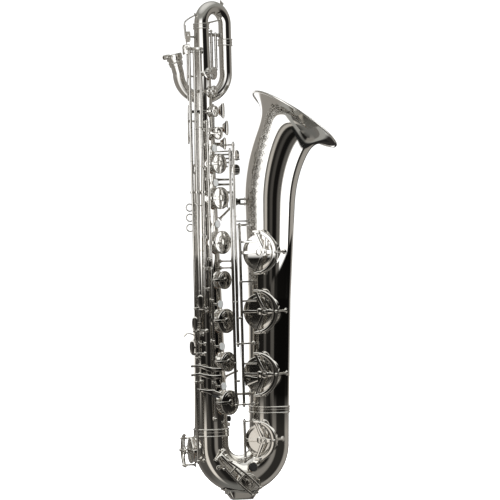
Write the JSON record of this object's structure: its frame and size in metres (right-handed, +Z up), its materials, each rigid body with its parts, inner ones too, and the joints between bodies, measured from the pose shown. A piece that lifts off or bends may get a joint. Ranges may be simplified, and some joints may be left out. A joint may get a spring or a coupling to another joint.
{
  "type": "baritone saxophone",
  "caption": "Plated metal baritone saxophone with a looped top bow, upright bell, hinged keys on steel rods and a neck socket.",
  "frame": {"origin": "middle of the flat foot under the lower bow", "axes": "+Z up along the body tube, +X from the body tube to the bell, -Y to the player's right, where the tone holes face"},
  "size_m": [0.3836, 0.2244, 1.1201],
  "materials": {
    "tube_plate": "polished nickel plate",
    "key_plate": "polished nickel plate",
    "steel_rod": "ground steel"
  },
  "bodies": {
    "sax_body": {"body_tube": "tube_plate", "lower_bow": "tube_plate", "bell": "tube_plate", "upper_bow": "tube_plate", "pigtail_loop": "tube_plate", "body_bow_ferrule": "tube_plate", "bell_bow_ferrule": "tube_plate", "body_crook_ferrule": "tube_plate", "crook_loop_ferrule": "tube_plate", "neck_receiver": "tube_plate", "receiver_screw": "tube_plate", "bell_brace": "tube_plate", "lower_brace": "tube_plate", "loop_brace": "tube_plate", "bow_guard": "tube_plate", "strap_rings": "tube_plate", "thumb_hook": "tube_plate", "thumb_rest": "tube_plate", "low_a_guard": "tube_plate", "low_b_flat_guard": "tube_plate", "low_b_guard": "tube_plate", "low_c_sharp_guard": "tube_plate", "low_e_flat_guard": "tube_plate", "upper_stack_rod": "steel_rod", "lower_stack_rod": "steel_rod", "side_e_rod": "steel_rod", "side_c_rod": "steel_rod", "side_b_flat_rod": "steel_rod", "palm_rod": "steel_rod", "bell_key_rod": "steel_rod", "low_c_sharp_rod": "steel_rod", "low_e_flat_rod": "steel_rod", "low_c_rod": "steel_rod", "table_b_flat_rod": "steel_rod", "table_b_rod": "steel_rod"},
    "small_c_key": {"small_c_key": "key_plate"},
    "lh_b_key": {"lh_b_key": "key_plate"},
    "lh_a_key": {"lh_a_key": "key_plate"},
    "lh_g_key": {"lh_g_key": "key_plate"},
    "rh_f_sharp_key": {"rh_f_sharp_key": "key_plate"},
    "rh_f_key": {"rh_f_key": "key_plate"},
    "rh_e_key": {"rh_e_key": "key_plate"},
    "rh_d_key": {"rh_d_key": "key_plate"},
    "side_e_key": {"side_e_key": "key_plate"},
    "side_c_key": {"side_c_key": "key_plate"},
    "side_b_flat_key": {"side_b_flat_key": "key_plate"},
    "palm_f_key": {"palm_f_key": "key_plate"},
    "palm_e_flat_key": {"palm_e_flat_key": "key_plate"},
    "palm_d_key": {"palm_d_key": "key_plate"},
    "low_a_key": {"low_a_key": "key_plate"},
    "low_b_flat_key": {"low_b_flat_key": "key_plate"},
    "low_b_key": {"low_b_key": "key_plate"},
    "low_c_sharp_key": {"low_c_sharp_key": "key_plate"},
    "table_b_flat_lever": {"table_b_flat_lever": "key_plate"},
    "table_b_lever": {"table_b_lever": "key_plate"},
    "low_e_flat_key": {"low_e_flat_key": "key_plate"},
    "low_c_key": {"low_c_key": "key_plate"},
    "octave_lever": {"octave_lever": "key_plate"},
    "octave_rocker": {"octave_rocker": "key_plate"}
  },
  "joints": [
    {"name": "small_c_key_hinge", "type": "hinge", "parent": "sax_body", "child": "small_c_key", "pos_m": [-0.0675, -0.042, 0.821], "axis": [0, 0, 1], "range_deg": [0, 12], "stiffness_Nm_per_rad": 0.05, "springref_deg": -11.46},
    {"name": "lh_b_key_hinge", "type": "hinge", "parent": "sax_body", "child": "lh_b_key", "pos_m": [-0.0675, -0.042, 0.753], "axis": [0, 0, 1], "range_deg": [0, 12], "stiffness_Nm_per_rad": 0.05, "springref_deg": -11.46},
    {"name": "lh_a_key_hinge", "type": "hinge", "parent": "sax_body", "child": "lh_a_key", "pos_m": [-0.0675, -0.042, 0.676], "axis": [0, 0, 1], "range_deg": [0, 12], "stiffness_Nm_per_rad": 0.05, "springref_deg": -11.46},
    {"name": "lh_g_key_hinge", "type": "hinge", "parent": "sax_body", "child": "lh_g_key", "pos_m": [-0.0675, -0.042, 0.577], "axis": [0, 0, 1], "range_deg": [0, 12], "stiffness_Nm_per_rad": 0.05, "springref_deg": -11.46},
    {"name": "rh_f_sharp_key_hinge", "type": "hinge", "parent": "sax_body", "child": "rh_f_sharp_key", "pos_m": [-0.0668, -0.047, 0.493], "axis": [0, 0, 1], "range_deg": [0, 12], "stiffness_Nm_per_rad": 0.05, "springref_deg": -11.46},
    {"name": "rh_f_key_hinge", "type": "hinge", "parent": "sax_body", "child": "rh_f_key", "pos_m": [-0.0668, -0.047, 0.402], "axis": [0, 0, 1], "range_deg": [0, 12], "stiffness_Nm_per_rad": 0.05, "springref_deg": -11.46},
    {"name": "rh_e_key_hinge", "type": "hinge", "parent": "sax_body", "child": "rh_e_key", "pos_m": [-0.0668, -0.047, 0.311], "axis": [0, 0, 1], "range_deg": [0, 12], "stiffness_Nm_per_rad": 0.05, "springref_deg": -11.46},
    {"name": "rh_d_key_hinge", "type": "hinge", "parent": "sax_body", "child": "rh_d_key", "pos_m": [-0.0668, -0.047, 0.22], "axis": [0, 0, 1], "range_deg": [0, 12], "stiffness_Nm_per_rad": 0.05, "springref_deg": -11.46},
    {"name": "side_e_key_hinge", "type": "hinge", "parent": "sax_body", "child": "side_e_key", "pos_m": [-0.0798, -0.0377, 0.955], "axis": [0, 0, 1], "range_deg": [-8, 0], "stiffness_Nm_per_rad": 0.05, "springref_deg": 11.46},
    {"name": "side_c_key_hinge", "type": "hinge", "parent": "sax_body", "child": "side_c_key", "pos_m": [-0.0915, -0.0311, 0.915], "axis": [0, 0, 1], "range_deg": [-8, 0], "stiffness_Nm_per_rad": 0.05, "springref_deg": 11.46},
    {"name": "side_b_flat_key_hinge", "type": "hinge", "parent": "sax_body", "child": "side_b_flat_key", "pos_m": [-0.1002, -0.0212, 0.87], "axis": [0, 0, 1], "range_deg": [-8, 0], "stiffness_Nm_per_rad": 0.05, "springref_deg": 11.46},
    {"name": "palm_f_key_hinge", "type": "hinge", "parent": "sax_body", "child": "palm_f_key", "pos_m": [-0.0393, 0.019, 0.869], "axis": [0, 0, 1], "range_deg": [-10, 0], "stiffness_Nm_per_rad": 0.05, "springref_deg": 11.46},
    {"name": "palm_e_flat_key_hinge", "type": "hinge", "parent": "sax_body", "child": "palm_e_flat_key", "pos_m": [-0.0393, 0.019, 0.84], "axis": [0, 0, 1], "range_deg": [-10, 0], "stiffness_Nm_per_rad": 0.05, "springref_deg": 11.46},
    {"name": "palm_d_key_hinge", "type": "hinge", "parent": "sax_body", "child": "palm_d_key", "pos_m": [-0.0393, 0.019, 0.806], "axis": [0, 0, 1], "range_deg": [-10, 0], "stiffness_Nm_per_rad": 0.05, "springref_deg": 11.46},
    {"name": "low_a_key_hinge", "type": "hinge", "parent": "sax_body", "child": "low_a_key", "pos_m": [0.0027, -0.032, 0.553], "axis": [0, 0, 1], "range_deg": [0, 6], "stiffness_Nm_per_rad": 0.05, "springref_deg": -11.46},
    {"name": "low_b_flat_key_hinge", "type": "hinge", "parent": "sax_body", "child": "low_b_flat_key", "pos_m": [0.0027, -0.032, 0.421], "axis": [0, 0, 1], "range_deg": [0, 6], "stiffness_Nm_per_rad": 0.05, "springref_deg": -11.46},
    {"name": "low_b_key_hinge", "type": "hinge", "parent": "sax_body", "child": "low_b_key", "pos_m": [0.0027, -0.032, 0.281], "axis": [0, 0, 1], "range_deg": [0, 6], "stiffness_Nm_per_rad": 0.05, "springref_deg": -11.46},
    {"name": "low_c_sharp_key_hinge", "type": "hinge", "parent": "sax_body", "child": "low_c_sharp_key", "pos_m": [0.0027, -0.032, 0.134], "axis": [0, 0, 1], "range_deg": [-6, 0], "stiffness_Nm_per_rad": 0.05, "springref_deg": 11.46},
    {"name": "table_b_flat_lever_hinge", "type": "hinge", "parent": "sax_body", "child": "table_b_flat_lever", "pos_m": [-0.0103, -0.044, 0.77], "axis": [0, 0, 1], "range_deg": [0, 8], "stiffness_Nm_per_rad": 0.05, "springref_deg": -11.46},
    {"name": "table_b_lever_hinge", "type": "hinge", "parent": "sax_body", "child": "table_b_lever", "pos_m": [-0.0183, -0.044, 0.738], "axis": [0, 0, 1], "range_deg": [0, 8], "stiffness_Nm_per_rad": 0.05, "springref_deg": -11.46},
    {"name": "low_e_flat_key_hinge", "type": "hinge", "parent": "sax_body", "child": "low_e_flat_key", "pos_m": [-0.1063, -0.036, 0.114], "axis": [0, 0, 1], "range_deg": [0, 8], "stiffness_Nm_per_rad": 0.05, "springref_deg": -11.46},
    {"name": "low_c_key_hinge", "type": "hinge", "parent": "sax_body", "child": "low_c_key", "pos_m": [-0.0583, -0.05, 0.104], "axis": [0.6842, 0, 0.7293], "range_deg": [0, 7], "stiffness_Nm_per_rad": 0.05, "springref_deg": -11.46},
    {"name": "octave_lever_hinge", "type": "hinge", "parent": "sax_body", "child": "octave_lever", "pos_m": [-0.0963, 0, 0.85], "axis": [0, 1, 0], "range_deg": [-6, 0], "stiffness_Nm_per_rad": 0.05, "springref_deg": 11.46},
    {"name": "octave_rocker_hinge", "type": "hinge", "parent": "sax_body", "child": "octave_rocker", "pos_m": [-0.0963, 0, 0.95], "axis": [0, 1, 0], "range_deg": [-6, 0], "stiffness_Nm_per_rad": 0.05, "springref_deg": 11.46}
  ],
  "couplings": [
    {"joint": "small_c_key_hinge", "follows": "lh_a_key_hinge", "ratio": 1},
    {"joint": "rh_f_sharp_key_hinge", "follows": "rh_f_key_hinge", "ratio": 1},
    {"joint": "low_b_flat_key_hinge", "follows": "table_b_flat_lever_hinge", "ratio": 0.75},
    {"joint": "low_b_key_hinge", "follows": "table_b_lever_hinge", "ratio": 0.75},
    {"joint": "octave_rocker_hinge", "follows": "octave_lever_hinge", "ratio": 1}
  ]
}
